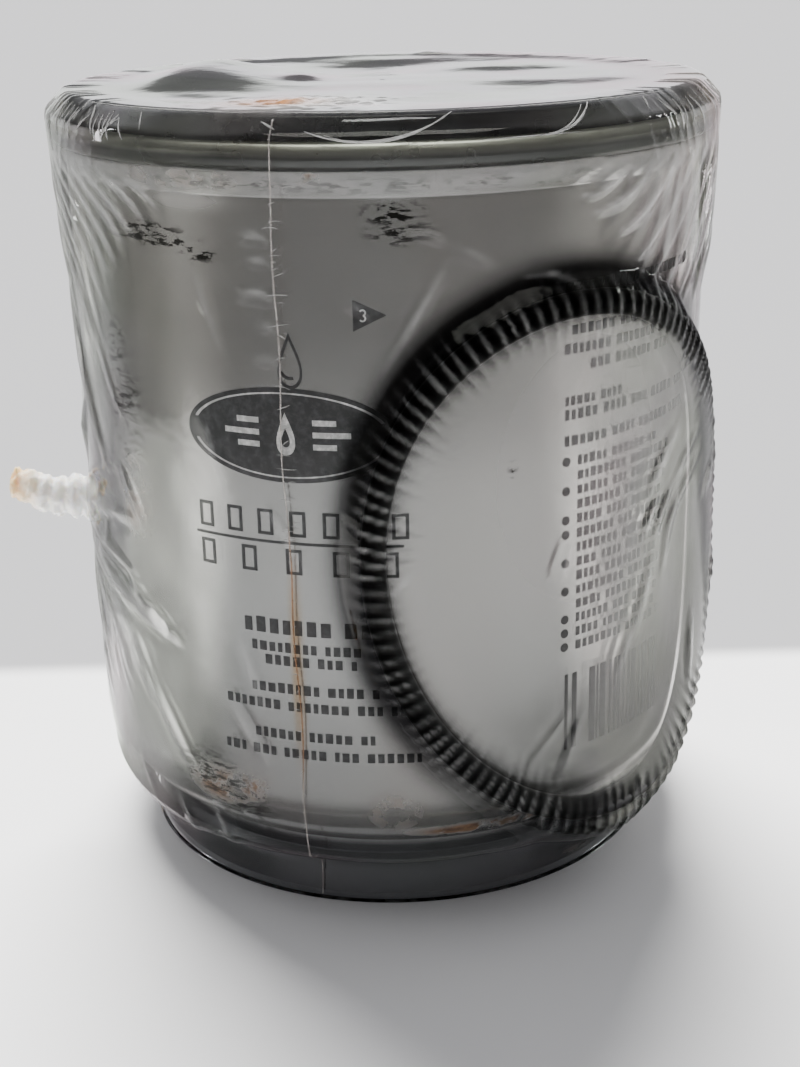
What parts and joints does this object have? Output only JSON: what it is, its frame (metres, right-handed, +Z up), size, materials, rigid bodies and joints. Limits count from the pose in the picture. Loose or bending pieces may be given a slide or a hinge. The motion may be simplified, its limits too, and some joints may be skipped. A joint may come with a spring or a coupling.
{
  "type": "fuel filter",
  "caption": "Spin-on diesel fuel filter canister with a bowl port, in clear shrink film, with a spare seal ring under the film.",
  "frame": {"origin": "on the can's axis, at the underside of the film across the foot, on the surface that the filter stands on", "axes": "+Z up along the can's axis towards the threaded end; the printed front faces -Y; the film's tail points to -X"},
  "size_m": [0.1291, 0.1157, 0.1333],
  "materials": {
    "can_paint": "grey satin paint, scuffed, with rust specks",
    "plated_steel": "plated, dull greenish sheen",
    "bare_steel": "pressed steel, satin",
    "spring_steel": "drawn wire, oiled",
    "cap_steel": "thin pressed steel",
    "black_rubber": "smooth moulded, slightly glossy",
    "plastisol": "cured adhesive",
    "filter_paper": "resin-treated paper",
    "shrink_film": "clear, slightly yellowed, wrinkled and glossy",
    "gathered_film": "milky gathered film with a scorched tip"
  },
  "bodies": {
    "canister": {"can_shell": "can_paint", "seam_lid": "plated_steel", "thread_plate": "bare_steel", "top_gasket": "black_rubber", "bowl_thread_ring": "plated_steel", "spring_seat": "bare_steel", "element_spring": "spring_steel", "bowl_seal_ring": "black_rubber", "film_sleeve": "shrink_film", "film_top": "shrink_film", "film_underside": "shrink_film", "film_seam": "shrink_film", "film_tail": "gathered_film"},
    "element": {"element_grommet": "black_rubber", "top_end_cap": "cap_steel", "top_potting": "plastisol", "pleated_media": "filter_paper", "bead_band_upper": "plastisol", "bead_band_lower": "plastisol", "centre_tube": "bare_steel", "bottom_potting": "plastisol", "bottom_end_cap": "cap_steel"}
  },
  "joints": [
    {"name": "element_float", "type": "slide", "parent": "canister", "child": "element", "axis": [0, 0, 1], "range_m": [-0.003, 0], "stiffness_N_per_m": 7000, "springref_m": 0.0075, "deforming": ["element_spring"]}
  ]
}
